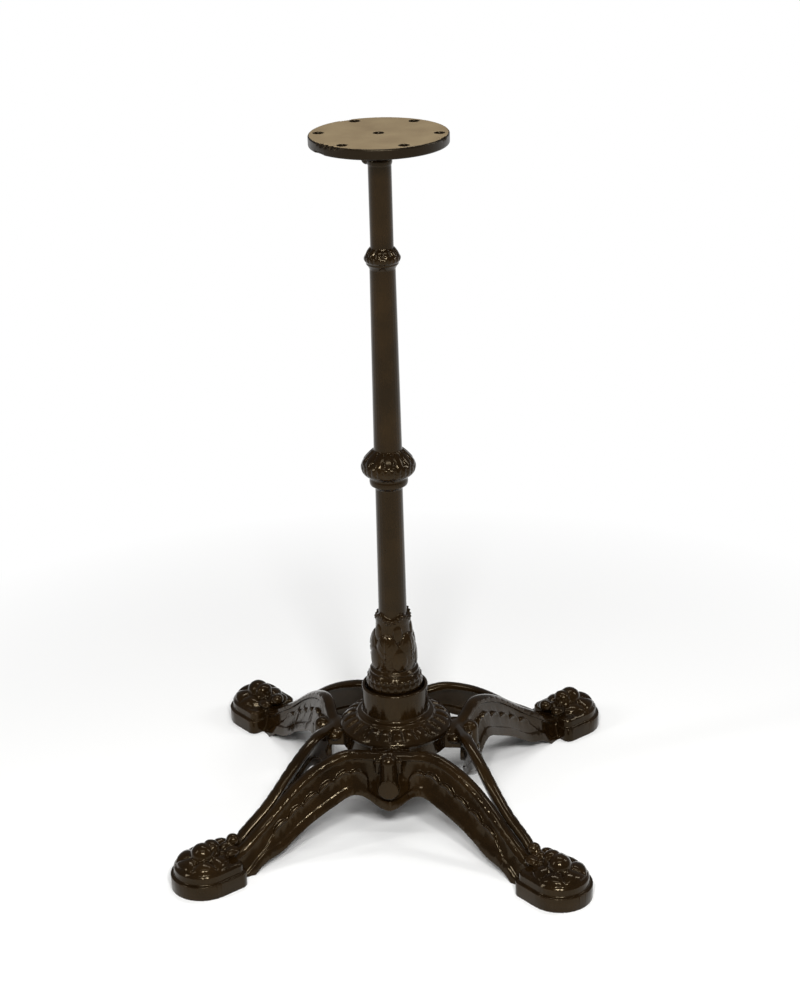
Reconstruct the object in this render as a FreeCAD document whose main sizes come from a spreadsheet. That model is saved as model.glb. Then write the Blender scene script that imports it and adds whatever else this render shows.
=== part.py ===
"""Four star table base: cast iron star, hollow column, round top plate and the tie rod that clamps them."""
import FreeCAD, Part
import math
import os

import Sketcher
from FreeCAD import Rotation, Vector

# Driving dimensions in millimetres, with plain counts where the name says count
SIZES = (
    ("table_height", 720.0, "floor to the top of the plate"),
    ("plate_diameter", 134.4, "round top plate"),
    ("plate_thickness", 10.4, "round top plate"),
    ("plate_edge", 1.0, "chamfer of the plate's two rims"),
    ("screw_circle", 115.2, "circle through the screw holes"),
    ("screw_hole", 10.0, "diameter of a screw hole"),
    ("screw_count", 6, "screw holes in the plate"),
    ("lug_reach", 18.5, "axis to the end of the stub left by the casting gate under the plate"),
    ("lug_width", 8.0, "width of that stub"),
    ("lug_depth", 3.0, "depth of that stub"),
    ("rod_diameter", 10.0, "threaded tie rod"),
    ("rod_recess", 2.0, "rod end below the plate's top"),
    ("rod_room", 1.0, "room round the rod in the hub's floor"),
    ("rod_tail", 6.0, "rod below the nut"),
    ("nut_across", 17.0, "nut across its flats"),
    ("nut_height", 8.0, "hexagon nut"),
    ("washer_diameter", 30.0, "plain washer"),
    ("washer_thickness", 2.5, "plain washer"),
    ("socket_floor", 126.0, "floor to the face that the column stands on"),
    ("floor_thickness", 8.0, "hub's floor under the column"),
    ("socket_radius", 31.0, "bore of the collar"),
    ("collar_radius", 34.5, "outside of the collar"),
    ("collar_top", 139.5, "floor to the top of the collar's rim"),
    ("collar_rounding", 1.6, "height of the collar rim's rounding"),
    ("collar_foot", 111.5, "floor to the lower end of the collar's straight wall"),
    ("ring_radius", 41.0, "outside of the ring bead round the collar"),
    ("ring_top", 108.8, "floor to the top of the ring bead"),
    ("ring_bead", 2.6, "rounding of the ring bead"),
    ("skirt_radius", 58.5, "outer rim of the leaf skirt"),
    ("skirt_top", 104.6, "floor to the skirt's inner edge"),
    ("skirt_rim", 93.5, "floor to the middle of the skirt's rim"),
    ("rim_thickness", 7.0, "height of the skirt's rim"),
    ("apron_radius", 56.5, "outside of the plain wall under the skirt's rim"),
    ("apron_foot", 74.0, "floor to the lower edge of that wall"),
    ("hub_wall", 6.5, "wall of the hollow hub"),
    ("petal_count", 24, "petals round the skirt"),
    ("petal_groove", 2.4, "radius of the groove between two petals"),
    ("petal_margin", 1.5, "plain strip at both ends of such a groove"),
    ("spigot_radius", 27.5, "column's end inside the collar"),
    ("bell_radius", 29.0, "lower edge of the column's bell"),
    ("bell_edge", 140.0, "floor to the bell's lower edge"),
    ("bell_undercut", 2.0, "height of the slope under the bell's edge"),
    ("bell_lobes", 22, "lobes along the bell's lower edge"),
    ("bell_groove", 1.5, "radius of the groove between two of them"),
    ("bell_neck_radius", 22.4, "groove between bell and leaf sleeve"),
    ("bell_neck", 160.5, "floor to that groove"),
    ("sleeve_radius", 23.9, "fullest part of the leaf sleeve"),
    ("leaf_count", 5, "broad leaves round the sleeve"),
    ("leaf_place", 16.5, "axis to the middle of a leaf"),
    ("leaf_level", 183.0, "floor to the middle of a leaf"),
    ("leaf_length", 40.0, "length of a leaf"),
    ("leaf_width", 24.0, "width of a leaf"),
    ("leaf_swell", 7.6, "middle of a leaf to its fullest part"),
    ("leaf_turn", 39.0, "degrees from the right to the middle of the first leaf"),
    ("sleeve_waist_radius", 17.9, "sleeve under its lip"),
    ("sleeve_waist", 211.0, "floor to the sleeve's waist"),
    ("lip_radius", 18.2, "beaded lip of the sleeve"),
    ("lip_height", 12.0, "height of the lip above the waist"),
    ("lip_slope", 1.5, "height of the slope from the lip in to the shaft"),
    ("shaft_foot_radius", 14.6, "shaft above the sleeve"),
    ("shaft_low_radius", 13.9, "shaft under the large knop"),
    ("shaft_middle_radius", 14.3, "shaft above the large knop"),
    ("shaft_high_radius", 12.8, "shaft under the small knop"),
    ("shaft_top_radius", 11.4, "shaft above the small knop"),
    ("shaft_flare_radius", 12.6, "shaft's end under the plate"),
    ("shaft_flare_height", 6.0, "height of that flare"),
    ("large_knop_radius", 27.7, "large knop"),
    ("large_knop_level", 381.5, "floor to the large knop's fullest part"),
    ("large_knop_height", 44.0, "large knop with its ring"),
    ("gadroon_count", 26, "lobes round the large knop"),
    ("gadroon_groove", 2.2, "radius of the groove between two lobes"),
    ("small_knop_radius", 18.0, "small knop"),
    ("small_knop_level", 598.0, "floor to the small knop's fullest part"),
    ("small_knop_height", 21.0, "small knop with its ring"),
    ("bead_count", 22, "beads round the small knop"),
    ("bead_groove", 1.6, "radius of the groove between two beads"),
    ("bore_radius", 7.0, "bore of the column"),
    ("core_top", 235.0, "floor to where the bore starts to widen"),
    ("core_radius", 21.0, "bore at the column's lower end"),
    ("rail_start", 82.0, "axis to the rails' outer face at the boss"),
    ("rail_splay", 22.0, "leg's centre line to a rail's outer face at the foot"),
    ("arch_height", 58.0, "floor to the top of the arch under a rail"),
    ("crest_height", 100.0, "floor to the highest part of a rail"),
    ("crest_end", 29.5, "floor to the rail's crest at the foot"),
    ("rail_lean", 15.0, "how far the crest lies behind the bottom edge"),
    ("flange_width", 11.0, "bottom flange of a rail"),
    ("flange_height", 9.5, "bottom flange of a rail"),
    ("ledge_slope", 1.0, "draft of the ledges along flange and cap"),
    ("web_recess", 2.8, "panel behind the flange's face"),
    ("web_thickness", 5.0, "panel of a rail"),
    ("cap_width", 11.5, "rounded cap of a rail"),
    ("cap_height", 7.0, "rounded cap of a rail"),
    ("scallop_proud", 2.0, "scalloped layer in front of the panel"),
    ("scallop_level", 25.5, "bottom edge of the rail to the scallops' tops"),
    ("scallop_pitch", 17.3, "from one scallop to the next"),
    ("scallop_depth", 4.0, "depth of the notch between two scallops"),
    ("scallop_count", 6, "scallops along a rail"),
    ("scallop_start", 19.5, "boss to the first scallop, along the rail"),
    ("boss_place", 78.0, "axis to the pillar of a boss"),
    ("pillar_radius", 9.0, "half round pillar of a boss"),
    ("pillar_top", 96.0, "floor to the pillar's round top"),
    ("disc_radius", 10.5, "round disc of a boss"),
    ("disc_level", 60.0, "floor to the disc's centre"),
    ("disc_face", 88.0, "axis to the disc's face"),
    ("disc_depth", 20.0, "thickness of the disc with its root in the rails"),
    ("rib_radius", 2.6, "small rib beside the pillar"),
    ("rib_spacing", 23.0, "from one small rib to the other"),
    ("rib_length", 13.0, "length of a small rib"),
    ("rib_top", 89.0, "floor to a small rib's upper end"),
    ("rib_place", 78.0, "axis to a small rib"),
    ("arm_width", 40.0, "arm from the hub to a boss"),
    ("arm_reach", 70.0, "axis to the arm's end behind the boss"),
    ("arm_root", 5.5, "arm's end inside the hub's wall"),
    ("arm_top", 90.0, "floor to the arm's top"),
    ("arm_depth", 16.0, "height of the arm"),
    ("foot_reach", 251.0, "axis to the centre of a foot's round end"),
    ("foot_radius", 33.0, "round end of a foot"),
    ("foot_length", 33.0, "straight part of a foot"),
    ("foot_corner", 8.0, "rounding of the foot's back corners in plan"),
    ("rim_height", 15.5, "lower tier of a foot"),
    ("tier_inset", 3.5, "step from the lower tier to the upper one"),
    ("tier_top", 25.6, "floor to the top of the upper tier"),
    ("tier_edge", 2.5, "chamfer of the upper tier"),
    ("foot_wall", 7.0, "wall of the foot, which is hollow underneath"),
    ("foot_core", 13.0, "depth of that hollow"),
    ("ball_radius", 12.5, "ball of the rosette"),
    ("ball_level", 33.0, "floor to the ball's centre"),
    ("rosette_radius", 26.0, "petals round the ball"),
    ("rosette_top", 35.0, "floor to the petals' upper ends at the ball"),
    ("rosette_petals", 6, "petals round the ball"),
    ("rosette_groove", 3.6, "radius of the groove between two of them"),
    ("rosette_rim", 0.8, "plain strip under the end of such a groove"),
    ("berry_radius", 5.5, "berry where the leg meets the foot"),
    ("berry_level", 33.0, "floor to a berry's centre"),
    ("berry_spread", 10.0, "leg's centre line to an outer berry"),
    ("berry_step", 3.0, "outer berries below and in front of the middle one"),
)

# Shape of a rail from boss to foot, as shares: length, arch height under it, rise of its crest, lean
RAIL_STATIONS = (
    (-0.05, 0.585, 0.90, 0.72),
    (0.035, 0.605, 0.925, 0.75),
    (0.08, 0.715, 0.945, 0.78),
    (0.15, 0.91, 0.98, 0.87),
    (0.22, 1.00, 1.00, 0.95),
    (0.32, 0.91, 0.95, 1.00),
    (0.46, 0.71, 0.80, 1.00),
    (0.60, 0.475, 0.575, 0.97),
    (0.735, 0.24, 0.325, 0.83),
    (0.87, 0.095, 0.11, 0.67),
    (1.04, 0.0, 0.0, 0.57),
)

# Part of a low rail section that its flange takes at most, and part of the cap above its straight side
FLANGE_SHARE = 0.33
CAP_SHARE = 0.4

# Depth of the scalloped layer's root, as a share of the panel, and its tail as shares of pitch and level
ROOT_SHARE = 0.4
TAIL = ((0.6, 0.45), (1.5, 0.1))

# Half outlines of turned forms, as shares across and up, each corner with the bend of the side that ends there
BELL = (
    ((0.82, 0.38), (1.06, 0.18)),
    ((0.33, 0.78), (0.71, 0.60)),
    ((0.0, 1.0), (0.29, 0.92)),
)
SLEEVE = (
    ((0.38, 0.585), (1.0, 0.25)),
    ((0.0, 1.0), (0.10, 0.78)),
)
LARGE_KNOP = (
    ((0.36, -0.41), (0.12, -0.46)),
    ((0.36, -0.26), (0.41, -0.335)),
    ((0.75, -0.15), (0.45, -0.19)),
    ((0.75, 0.19), (1.0, 0.0)),
    ((0.0, 0.45), (0.27, 0.32)),
)
SMALL_KNOP = (
    ((0.50, -0.29), (0.15, -0.42)),
    ((0.54, -0.18), (0.64, -0.235)),
    ((0.70, 0.16), (1.0, 0.0)),
    ((0.0, 0.50), (0.35, 0.32)),
)

# Two levels closer than this are the same
SAME = 1e-6

doc = FreeCAD.newDocument("four_star_table_base")
sheet = doc.addObject("Spreadsheet::Sheet", "Sizes")
for row, (alias, amount, meaning) in enumerate(SIZES, start=1):
    sheet.set(f"A{row}", alias)
    sheet.set(f"B{row}", str(amount))
    sheet.set(f"C{row}", meaning)
    sheet.setAlias(f"B{row}", alias)
doc.recompute()


def cell(alias):
    """The number in a named cell."""
    return float(getattr(sheet, alias))


def value(text):
    """The number that an expression on the sheet gives."""
    return float(sheet.evalExpression(text))


def bind(thing, **texts):
    """Ties properties to expressions, with __ for the dot in a property's path."""
    for path, text in texts.items():
        thing.setExpression(path.replace("__", "."), text)
    return thing


def new_body(label):
    body = doc.addObject("PartDesign::Body", label)
    body.Label = label
    return body


def origin_plane(body, role):
    return next(feature for feature in body.Origin.OriginFeatures if feature.Role == role)


def attach(sketch, body, role):
    sketch.AttachmentSupport = [(origin_plane(body, role), "")]
    sketch.MapMode = "FlatFace"


def outline(body, name, role, corners):
    """A closed sketch: each corner is two expressions, and a third pair bends the side that ends there."""
    sketch = body.newObject("Sketcher::SketchObject", name)
    attach(sketch, body, role)
    points = [Vector(value(corner[0]), value(corner[1]), 0) for corner in corners]
    for index, corner in enumerate(corners):
        start, end = points[index - 1], points[index]
        if len(corner) == 3:
            middle = Vector(value(corner[2][0]), value(corner[2][1]), 0)
            sketch.addGeometry(Part.Arc(start, middle, end), False)
        else:
            sketch.addGeometry(Part.LineSegment(start, end), False)

    def end_of(index, point):
        return min((1, 2), key=lambda end: sketch.getPoint(index, end).distanceToPoint(point))

    for index, corner in enumerate(corners):
        following = (index + 1) % len(corners)
        here = end_of(index, points[index])
        there = end_of(following, points[index])
        sketch.addConstraint(Sketcher.Constraint("Coincident", index, here, following, there))
        for kind, text in (("DistanceX", corner[0]), ("DistanceY", corner[1])):
            place = sketch.addConstraint(Sketcher.Constraint(kind, -1, 1, index, here, value(text)))
            sketch.setExpression(f"Constraints[{place}]", text)
    return sketch


def ring_sketch(body, name, role, radius, level=None, away=None):
    """A sketch of one circle, lifted to a level and set off from the axis where those are given."""
    sketch = body.newObject("Sketcher::SketchObject", name)
    attach(sketch, body, role)
    if level:
        bind(sketch, AttachmentOffset__Base__z=level)
    centre = Vector(value(away) if away else 0, 0, 0)
    sketch.addGeometry(Part.Circle(centre, Vector(0, 0, 1), value(radius)), False)
    sketch.addConstraint(Sketcher.Constraint("Radius", 0, value(radius)))
    sketch.setExpression("Constraints[0]", radius)
    if away:
        sketch.addConstraint(Sketcher.Constraint("DistanceX", -1, 1, 0, 3, centre.x))
        sketch.setExpression("Constraints[1]", away)
    return sketch


def feature(body, kind, name, profile=None, **texts):
    """A new feature of a body, made from a sketch where it has one."""
    made = body.newObject(f"PartDesign::{kind}", name)
    if profile is not None:
        made.Profile = profile
        profile.Visibility = False
    bind(made, **texts)
    return made


def turned(body, name, profile):
    """The profile in the XZ plane, turned about the body's upright axis."""
    made = feature(body, "Revolution", name, profile)
    made.ReferenceAxis = (profile, ["V_Axis"])
    made.Angle = 360
    return made


def round_about(body, name, originals, count):
    """Copies of features round the body's upright axis."""
    doc.recompute()
    pattern = body.newObject("PartDesign::PolarPattern", name)
    pattern.Originals = originals
    pattern.Axis = (origin_plane(body, "Z_Axis"), [""])
    pattern.Angle = 360
    bind(pattern, Occurrences=count)
    body.Tip = pattern
    doc.recompute()
    return pattern


def lay_along(cylinder, fall, run):
    """Lays an upright cylinder outward along a slope."""
    cylinder.Placement.Rotation = Rotation(Vector(0, 1, 0), 90 + math.degrees(math.atan2(fall, run)))


def chamfered(body, name, level, size):
    """A chamfer on the edges of the body's last feature that lie at one level."""
    doc.recompute()
    base = body.Tip
    picked = []
    for number, edge in enumerate(base.Shape.Edges, start=1):
        box = edge.BoundBox
        if max(abs(box.ZMin - value(level)), abs(box.ZMax - value(level))) < SAME:
            picked.append(f"Edge{number}")
    chamfer = body.newObject("PartDesign::Chamfer", name)
    chamfer.Base = (base, picked)
    bind(chamfer, Size=size)
    return chamfer


def make_top_plate():
    body = new_body("top_plate")
    under_plate = "Sizes.table_height - Sizes.plate_thickness"
    disc = ring_sketch(body, "plate_circle", "XY_Plane", "Sizes.plate_diameter / 2", level=under_plate)
    feature(body, "Pad", "plate_disc", disc, Length="Sizes.plate_thickness")
    chamfered(body, "plate_upper_rim", "Sizes.table_height", "Sizes.plate_edge")
    chamfered(body, "plate_lower_rim", under_plate, "Sizes.plate_edge")
    top = "Sizes.table_height"
    centre = ring_sketch(body, "centre_circle", "XY_Plane", "Sizes.rod_diameter / 2", level=top)
    feature(body, "Pocket", "centre_hole", centre, Length="2 * Sizes.plate_thickness")
    screw = ring_sketch(body, "screw_outline", "XY_Plane", "Sizes.screw_hole / 2", level=top,
                        away="Sizes.screw_circle / 2")
    hole = feature(body, "Pocket", "screw_hole_cut", screw, Length="2 * Sizes.plate_thickness")
    round_about(body, "screw_holes", [hole], "Sizes.screw_count")
    feature(body, "AdditiveBox", "gate_stub", Width="Sizes.lug_width",
            Length="Sizes.lug_reach - Sizes.shaft_flare_radius - Sizes.rod_room",
            Height="Sizes.lug_depth + Sizes.plate_thickness / 2",
            Placement__Base__x="-Sizes.lug_reach", Placement__Base__y="-Sizes.lug_width / 2",
            Placement__Base__z=f"{under_plate} - Sizes.lug_depth")
    return body


def turned_corners(shares, inner, outer, low, height):
    """Corners of a turned form's half outline, from shares across and up."""
    def place(share):
        across = f"Sizes.{inner} + {share[0]} * (Sizes.{outer} - Sizes.{inner})"
        return across, f"{low} + {share[1]} * ({height})"

    return [(*place(corner), place(bend)) for corner, bend in shares]


def knop_corners(name, below, above, shares):
    """Corners of a knop's half outline, from the shaft below it to the shaft above it."""
    sizes = (f"{name}_radius", f"Sizes.{name}_level", f"Sizes.{name}_height")
    return turned_corners(shares[:-1], below, *sizes) + turned_corners(shares[-1:], above, *sizes)


def make_column():
    body = new_body("column")
    under_plate = "Sizes.table_height - Sizes.plate_thickness"
    lip_top = "Sizes.sleeve_waist + Sizes.lip_height"
    corners = [
        ("Sizes.bore_radius", "Sizes.core_top"),
        ("Sizes.core_radius", "Sizes.socket_floor"),
        ("Sizes.spigot_radius", "Sizes.socket_floor"),
        ("Sizes.spigot_radius", "Sizes.bell_edge - Sizes.bell_undercut"),
        ("Sizes.bell_radius", "Sizes.bell_edge"),
        *turned_corners(BELL, "bell_neck_radius", "bell_radius", "Sizes.bell_edge",
                        "Sizes.bell_neck - Sizes.bell_edge"),
        *turned_corners(SLEEVE, "sleeve_waist_radius", "sleeve_radius", "Sizes.bell_neck",
                        "Sizes.sleeve_waist - Sizes.bell_neck"),
        ("Sizes.sleeve_waist_radius", lip_top, ("Sizes.lip_radius", "Sizes.sleeve_waist + Sizes.lip_height / 2")),
        ("Sizes.shaft_foot_radius", f"{lip_top} + Sizes.lip_slope"),
        ("Sizes.shaft_low_radius", "Sizes.large_knop_level - Sizes.large_knop_height / 2"),
        *knop_corners("large_knop", "shaft_low_radius", "shaft_middle_radius", LARGE_KNOP),
        ("Sizes.shaft_high_radius", "Sizes.small_knop_level - Sizes.small_knop_height / 2"),
        *knop_corners("small_knop", "shaft_high_radius", "shaft_top_radius", SMALL_KNOP),
        ("Sizes.shaft_top_radius", f"{under_plate} - Sizes.shaft_flare_height"),
        ("Sizes.shaft_flare_radius", under_plate),
        ("Sizes.bore_radius", under_plate),
    ]
    turned(body, "column_turning", outline(body, "column_outline", "XZ_Plane", corners))
    gadroon = feature(body, "SubtractiveCylinder", "gadroon_cut", Radius="Sizes.gadroon_groove",
                      Height="Sizes.large_knop_height / 3",
                      Placement__Base__x="Sizes.large_knop_radius + Sizes.gadroon_groove / 2",
                      Placement__Base__z="Sizes.large_knop_level - Sizes.large_knop_height / 6")
    round_about(body, "gadroons", [gadroon], "Sizes.gadroon_count")
    bead = feature(body, "SubtractiveCylinder", "bead_cut", Radius="Sizes.bead_groove",
                   Height="Sizes.small_knop_height / 2.5",
                   Placement__Base__x="Sizes.small_knop_radius + Sizes.bead_groove / 2",
                   Placement__Base__z="Sizes.small_knop_level - Sizes.small_knop_height / 5")
    round_about(body, "beads", [bead], "Sizes.bead_count")
    lobe = feature(body, "SubtractiveCylinder", "bell_cut", Radius="Sizes.bell_groove",
                   Height="(Sizes.bell_neck - Sizes.bell_edge) / 2",
                   Placement__Base__x="Sizes.bell_radius + Sizes.bell_groove / 2",
                   Placement__Base__z="Sizes.bell_edge - Sizes.bell_undercut / 2")
    round_about(body, "bell_edge_lobes", [lobe], "Sizes.bell_lobes")
    leaf = feature(body, "AdditiveEllipsoid", "sleeve_leaf", Radius1="Sizes.leaf_length / 2",
                   Radius2="Sizes.leaf_swell", Radius3="Sizes.leaf_width / 2",
                   Placement__Base__x="Sizes.leaf_place * cos(Sizes.leaf_turn * 1 deg)",
                   Placement__Base__y="Sizes.leaf_place * sin(Sizes.leaf_turn * 1 deg)",
                   Placement__Base__z="Sizes.leaf_level")
    leaf.Placement.Rotation = Rotation(Vector(0, 0, 1), cell("leaf_turn"))
    round_about(body, "sleeve_leaves", [leaf], "Sizes.leaf_count")
    return body


def make_tie_rod():
    body = new_body("tie_rod")
    foot = ("Sizes.socket_floor - Sizes.floor_thickness - Sizes.washer_thickness - Sizes.nut_height"
            " - Sizes.rod_tail")
    circle = ring_sketch(body, "rod_circle", "XY_Plane", "Sizes.rod_diameter / 2", level=foot)
    feature(body, "Pad", "rod_bar", circle, Length=f"Sizes.table_height - Sizes.rod_recess - ({foot})")
    return body


def make_base_washer():
    body = new_body("base_washer")
    level = "Sizes.socket_floor - Sizes.floor_thickness - Sizes.washer_thickness"
    disc = ring_sketch(body, "washer_circle", "XY_Plane", "Sizes.washer_diameter / 2", level=level)
    feature(body, "Pad", "washer_disc", disc, Length="Sizes.washer_thickness")
    bore = ring_sketch(body, "washer_bore_circle", "XY_Plane", "Sizes.rod_diameter / 2 + Sizes.rod_room / 2",
                       level=f"{level} + Sizes.washer_thickness")
    feature(body, "Pocket", "washer_bore", bore, Length="2 * Sizes.washer_thickness")
    return body


def make_base_nut():
    body = new_body("base_nut")
    level = "Sizes.socket_floor - Sizes.floor_thickness - Sizes.washer_thickness - Sizes.nut_height"
    feature(body, "AdditivePrism", "nut_hexagon", Circumradius="Sizes.nut_across / sqrt(3)",
            Height="Sizes.nut_height", Placement__Base__z=level)
    bore = ring_sketch(body, "nut_bore_circle", "XY_Plane", "Sizes.rod_diameter / 2",
                       level=f"{level} + Sizes.nut_height")
    feature(body, "Pocket", "nut_bore", bore, Length="2 * Sizes.nut_height")
    return body


def make_hub():
    """Collar, ring bead and leaf skirt over a plain wall, hollow underneath."""
    body = new_body("hub")
    rod_hole = "Sizes.rod_diameter / 2 + Sizes.rod_room"
    floor_under = "Sizes.socket_floor - Sizes.floor_thickness"
    collar_shoulder = "Sizes.collar_top - Sizes.collar_rounding"
    bead_start = "(Sizes.ring_radius - Sizes.ring_bead)"
    rim_low = "Sizes.skirt_rim - Sizes.rim_thickness / 2"
    rim_high = "Sizes.skirt_rim + Sizes.rim_thickness / 2"
    apron_inside = "Sizes.apron_radius - Sizes.hub_wall"
    inside = "Sizes.collar_radius - Sizes.hub_wall"
    corners = [
        (rod_hole, floor_under),
        (rod_hole, "Sizes.socket_floor"),
        ("Sizes.socket_radius", "Sizes.socket_floor"),
        ("Sizes.socket_radius", collar_shoulder),
        ("Sizes.collar_radius", collar_shoulder,
         ("(Sizes.socket_radius + Sizes.collar_radius) / 2", "Sizes.collar_top")),
        ("Sizes.collar_radius", "Sizes.collar_foot"),
        (bead_start, "Sizes.ring_top",
         (f"0.75 * Sizes.collar_radius + 0.25 * {bead_start}", "0.25 * Sizes.collar_foot + 0.75 * Sizes.ring_top")),
        ("Sizes.ring_radius", "Sizes.ring_top - Sizes.ring_bead",
         ("Sizes.ring_radius - 0.3 * Sizes.ring_bead", "Sizes.ring_top - 0.3 * Sizes.ring_bead")),
        ("Sizes.ring_radius", "Sizes.skirt_top"),
        ("Sizes.apron_radius", rim_high,
         ("(Sizes.ring_radius + Sizes.skirt_radius) / 2", f"0.75 * Sizes.skirt_top + 0.25 * ({rim_high})")),
        ("Sizes.apron_radius", rim_low, ("Sizes.skirt_radius", "Sizes.skirt_rim")),
        ("Sizes.apron_radius", "Sizes.apron_foot"),
        (apron_inside, "Sizes.apron_foot"),
        (apron_inside, rim_low),
        ("Sizes.collar_radius", "Sizes.skirt_top - Sizes.hub_wall"),
        (inside, "Sizes.skirt_top"),
        (inside, floor_under),
    ]
    turned(body, "hub_turning", outline(body, "hub_outline", "XZ_Plane", corners))
    groove = feature(body, "SubtractiveCylinder", "petal_cut", Radius="Sizes.petal_groove",
                     Height="Sizes.skirt_radius - Sizes.ring_radius - 2 * Sizes.petal_margin",
                     Placement__Base__x="Sizes.ring_radius + Sizes.petal_margin",
                     Placement__Base__z="Sizes.skirt_top + Sizes.petal_groove / 2")
    fall = value(f"Sizes.skirt_top - ({rim_high})")
    run = value("Sizes.skirt_radius - Sizes.ring_radius")
    lay_along(groove, fall, run)
    round_about(body, "skirt_petals", [groove], "Sizes.petal_count")
    return body


class RailPlan:
    """The rails' outer face seen from above: an arc from the boss that ends along the leg's centre line."""

    def __init__(self):
        along = (cell("foot_reach") - cell("foot_length")) / math.sqrt(2)
        aside = cell("rail_splay") / math.sqrt(2)
        self.start = Vector(0, -cell("rail_start"), 0)
        self.end = Vector(along - aside, -along - aside, 0)
        towards_centre = Vector(-1, -1, 0).normalize()
        chord = self.start - self.end
        self.radius = chord.dot(chord) / (2 * chord.dot(towards_centre))
        self.centre = self.end + towards_centre * self.radius
        self.first = math.atan2(self.start.x - self.centre.x, self.start.y - self.centre.y)
        self.turn = math.pi / 4 - self.first
        self.length = self.radius * self.turn

    def point(self, share, inward, level):
        """A point at a share of the rail's length, some way inward from its outer face."""
        angle = self.first + share * self.turn
        reach = self.radius + inward
        return Vector(self.centre.x + reach * math.sin(angle), self.centre.y + reach * math.cos(angle), level)


def rail_levels(station):
    """Bottom edge, crest and lean at one station of a rail."""
    share, arch, rise, lean = station
    bottom = arch * cell("arch_height")
    crest = cell("crest_end") + rise * (cell("crest_height") - cell("crest_end"))
    return share, bottom, crest, lean * cell("rail_lean")


def rail_section(plan, station):
    """Section of a rail: flange, recessed panel and rounded cap, all leaning inward."""
    share, bottom, crest, lean = rail_levels(station)
    flange, web = cell("flange_width"), cell("web_thickness")
    recess, cap, drop, draft = cell("web_recess"), cell("cap_width"), cell("cap_height"), cell("ledge_slope")
    ledge = bottom + min(cell("flange_height"), FLANGE_SHARE * (crest - bottom))
    under = crest - drop
    shoulder = crest - CAP_SHARE * drop

    def face(level):
        return lean * (level - bottom) / (crest - bottom)

    def at(inward, level):
        return plan.point(share, inward, level)

    points = [
        at(0, bottom), at(flange, bottom), at(face(ledge) + flange - draft, ledge),
        at(face(ledge) + recess + web, ledge + draft), at(face(under) + recess + web, under - draft),
        at(lean + cap, under), at(lean + cap, shoulder), at(lean, shoulder), at(face(under), under),
        at(face(under) + recess, under - draft), at(face(ledge) + recess, ledge + draft), at(face(ledge), ledge),
    ]
    sides = [Part.makeLine(first, second) for first, second in zip(points, points[1:] + points[:1])]
    cap_start, cap_end = at(lean + cap, shoulder), at(lean, shoulder)
    sides[points.index(cap_start)] = Part.Arc(cap_start, at(lean + cap / 2, crest), cap_end).toShape()
    return Part.Wire(sides)


def scallop_section(plan, station):
    """Section of the layer that carries the scallops, buried a little in panel and flange."""
    share, bottom, crest, lean = rail_levels(station)
    slope = lean / (crest - bottom)
    proud = cell("web_recess") - cell("scallop_proud")
    buried = cell("web_recess") + ROOT_SHARE * cell("web_thickness")
    low, high = bottom + cell("scallop_proud"), crest - cell("cap_height")
    corners = ((proud, low), (buried, low), (buried, high), (proud, high))
    return Part.makePolygon([plan.point(share, slope * (level - bottom) + depth, level)
                             for depth, level in corners + corners[:1]])


def between(stations, share, column):
    """A station's value at any share of the length."""
    for left, right in zip(stations, stations[1:]):
        if left[0] <= share <= right[0]:
            part = (share - left[0]) / (right[0] - left[0])
            return left[column] + part * (right[column] - left[column])
    raise ValueError("share outside the rail")


def scallop_curtain(plan):
    """A curtain whose upper edge is the row of scallops, ending in a tail that runs down to the flange."""
    def edge(distance, above):
        share = distance / plan.length
        bottom = between(RAIL_STATIONS, share, 1) * cell("arch_height")
        middle = cell("rail_lean") / 2
        return Vector(plan.point(share, middle, 0).x, 0, bottom + above)

    level, depth, pitch = cell("scallop_level"), cell("scallop_depth"), cell("scallop_pitch")
    start = cell("scallop_start")
    notches = [edge(start + number * pitch, level - depth) for number in range(int(cell("scallop_count")) + 1)]
    tops = [edge(start + (number + 0.5) * pitch, level) for number in range(int(cell("scallop_count")))]
    sides = [Part.Arc(*points).toShape() for points in zip(notches, tops, notches[1:])]
    last = start + cell("scallop_count") * pitch
    tail, tip = (edge(last + along * pitch, above * level) for along, above in TAIL)
    rest = [notches[-1], tail, tip, Vector(tip.x, 0, 0), Vector(notches[0].x, 0, 0), notches[0]]
    sides += [Part.makeLine(first, second) for first, second in zip(rest, rest[1:])]
    face = Part.Face(Part.Wire(sides))
    face.translate(Vector(0, -cell("foot_reach"), 0))
    return face.extrude(Vector(0, cell("foot_reach"), 0))


def make_rail():
    """The rail from the front boss to the front right foot, kept between the two planes of symmetry beside it."""
    plan = RailPlan()
    blank = Part.makeLoft([rail_section(plan, station) for station in RAIL_STATIONS], True)
    layer = Part.makeLoft([scallop_section(plan, station) for station in RAIL_STATIONS[1:-1]], True)
    scallops = layer.common(scallop_curtain(plan))
    reach = 2 * cell("foot_reach")
    corners = [Vector(0, 0, 0), Vector(0, -reach, 0), Vector(reach, -reach, 0), Vector(0, 0, 0)]
    wedge = Part.Face(Part.makePolygon(corners)).extrude(Vector(0, 0, reach))
    rail = doc.addObject("Part::Feature", "rail")
    rail.Shape = blank.fuse(scallops).common(wedge)
    return rail


def primitive(kind, name, **texts):
    return bind(doc.addObject(f"Part::{kind}", name), **texts)


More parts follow.
